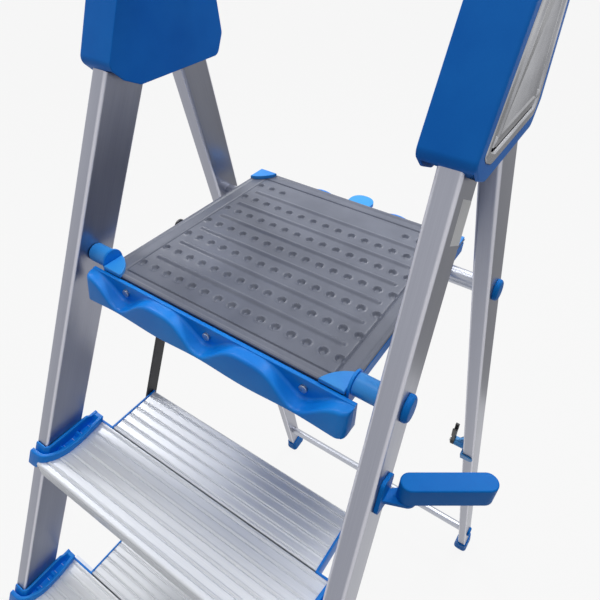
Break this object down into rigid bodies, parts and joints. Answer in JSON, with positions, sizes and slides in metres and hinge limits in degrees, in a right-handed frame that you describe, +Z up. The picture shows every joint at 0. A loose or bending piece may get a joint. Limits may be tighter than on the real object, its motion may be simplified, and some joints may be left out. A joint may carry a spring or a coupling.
{
  "type": "platform step ladder",
  "caption": "Folding aluminium platform ladder with deep treads at the front, a braced rear frame, a dimpled platform between tool ledges and tall rails joined by a top bar.",
  "frame": {"origin": "on the floor, midway between the four feet", "axes": "+X to the user's right, +Y from the steps to the rear frame, +Z up"},
  "size_m": [0.6612, 1.2398, 1.6028],
  "materials": {
    "rail_aluminium": "satin extruded",
    "step_aluminium": "grooved extruded",
    "blue_plastic": "satin moulded",
    "cap_blue_plastic": "satin moulded",
    "light_blue_plastic": "satin moulded",
    "tread_plastic": "matt moulded",
    "black_plastic": "matt moulded",
    "dark_steel": "dark coated",
    "cast_metal": "die-cast",
    "pin_steel": "zinc plated"
  },
  "bodies": {
    "front_frame": {"front_foot_left": "blue_plastic", "front_foot_right": "blue_plastic", "front_rail_left": "rail_aluminium", "front_rail_right": "rail_aluminium", "hinge_pins": "pin_steel", "hinge_plates_left": "cast_metal", "hinge_plates_right": "cast_metal", "pivot_end_caps": "blue_plastic", "platform_pivot_pins": "pin_steel", "side_hook_bracket": "blue_plastic", "side_hook_pin": "pin_steel", "stay_studs": "pin_steel", "step_1_collars": "blue_plastic", "step_1_end_trims": "blue_plastic", "step_1_front_plank": "step_aluminium", "step_1_rear_plank": "step_aluminium", "step_2_collars": "blue_plastic", "step_2_end_trims": "blue_plastic", "step_2_front_plank": "step_aluminium", "step_2_rear_plank": "step_aluminium", "step_3_collars": "blue_plastic", "step_3_end_trims": "blue_plastic", "step_3_front_plank": "step_aluminium", "step_3_rear_plank": "step_aluminium", "step_4_collars": "blue_plastic", "step_4_end_trims": "blue_plastic", "step_4_front_plank": "step_aluminium", "step_4_rear_plank": "step_aluminium", "top_cap_left": "cap_blue_plastic", "top_cap_plate_left": "cast_metal", "top_cap_plate_right": "cast_metal", "top_cap_right": "cap_blue_plastic", "top_rail": "rail_aluminium"},
    "platform": {"deck_frame": "blue_plastic", "tread_plate": "tread_plastic", "front_ledge": "blue_plastic", "rear_ledge": "blue_plastic", "corner_clips": "blue_plastic", "ledge_screws": "pin_steel", "stay_pins": "pin_steel", "lever_pin": "pin_steel", "pivot_bushes": "blue_plastic"},
    "rear_frame": {"rear_rail_left": "rail_aluminium", "rear_rail_right": "rail_aluminium", "rear_foot_left": "blue_plastic", "rear_foot_right": "blue_plastic", "rear_rung_upper": "rail_aluminium", "rear_rung_lower": "rail_aluminium", "rung_end_caps": "blue_plastic", "hinge_knuckle_left": "cast_metal", "hinge_knuckle_right": "cast_metal", "latch_bracket": "blue_plastic", "latch_pin": "pin_steel"},
    "stays": {"stay_bar_left": "dark_steel", "stay_bar_right": "dark_steel"},
    "release_lever": {"release_lever": "light_blue_plastic"},
    "side_hook": {"side_hook_arm": "blue_plastic"},
    "latch": {"latch_hook": "black_plastic"}
  },
  "joints": [
    {"name": "platform_fold", "type": "hinge", "parent": "front_frame", "child": "platform", "pos_m": [0, -0.02049, 1.254], "axis": [1, 0, 0], "range_deg": [0, 65]},
    {"name": "rear_fold", "type": "hinge", "parent": "front_frame", "child": "rear_frame", "pos_m": [0, 0.13758, 1.48869], "axis": [1, 0, 0], "range_deg": [-41, 0]},
    {"name": "stay_fold", "type": "hinge", "parent": "platform", "child": "stays", "pos_m": [0, 0.09751, 1.232], "axis": [1, 0, 0], "range_deg": [-65.1, 0]},
    {"name": "release_lever_lift", "type": "hinge", "parent": "platform", "child": "release_lever", "pos_m": [0, 0.26621, 1.236], "axis": [1, 0, 0], "range_deg": [0, 20], "stiffness_Nm_per_rad": 0.05, "springref_deg": -11.46},
    {"name": "side_hook_swivel", "type": "hinge", "parent": "front_frame", "child": "side_hook", "pos_m": [0.23083, -0.04603, 1.18245], "axis": [0, 0, 1], "range_deg": [-35, 55]},
    {"name": "latch_swing", "type": "hinge", "parent": "rear_frame", "child": "latch", "pos_m": [0.21327, 0.36914, 0.736], "axis": [1, 0, 0], "range_deg": [0, 38]}
  ],
  "couplings": [
    {"joint": "rear_fold", "follows": "platform_fold", "ratio": -0.63},
    {"joint": "stay_fold", "follows": "platform_fold", "ratio": -1}
  ]
}
